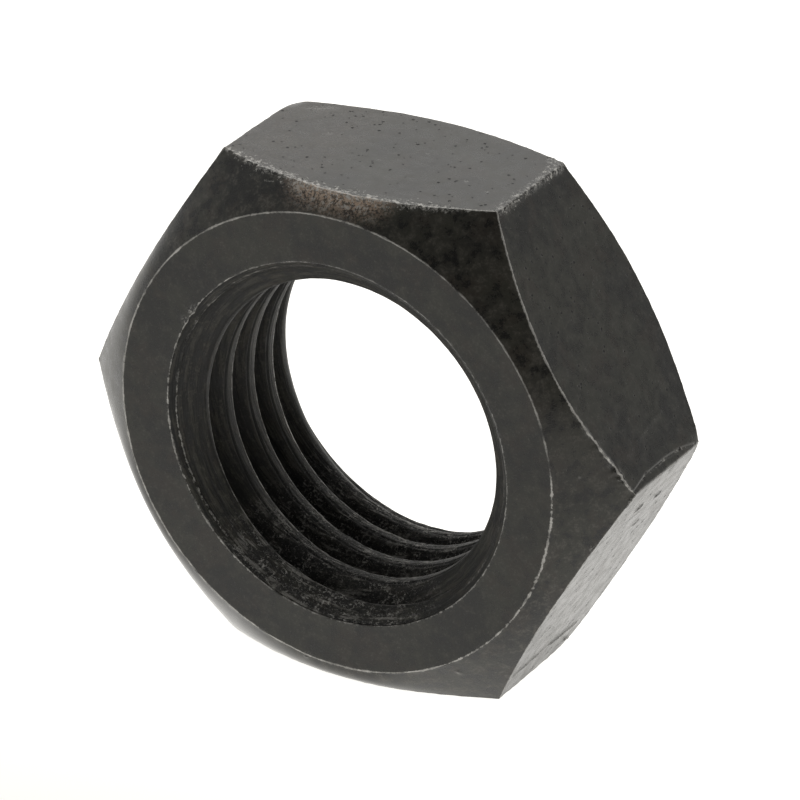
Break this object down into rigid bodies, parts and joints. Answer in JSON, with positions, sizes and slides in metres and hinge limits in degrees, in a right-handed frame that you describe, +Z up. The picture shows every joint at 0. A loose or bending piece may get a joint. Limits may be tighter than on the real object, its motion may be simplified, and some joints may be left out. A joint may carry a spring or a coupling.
{
  "type": "hex nut",
  "caption": "Thin hexagon nut with a right-hand internal thread, chamfered on both faces and countersunk at both ends of the thread, in blackened steel.",
  "frame": {"origin": "centre of the threaded bore, halfway between the two bearing faces", "axes": "Y along the thread's axis with the front bearing face towards -Y, +Z up out of the top wrench flat, +X to the right through a corner of the hexagon"},
  "size_m": [0.037, 0.0128, 0.032],
  "materials": {
    "blackened_steel": "black oxide on machined steel, semi-gloss, worn bright along the edges"
  },
  "bodies": {
    "root": {"hex_nut": "blackened_steel"}
  },
  "joints": []
}
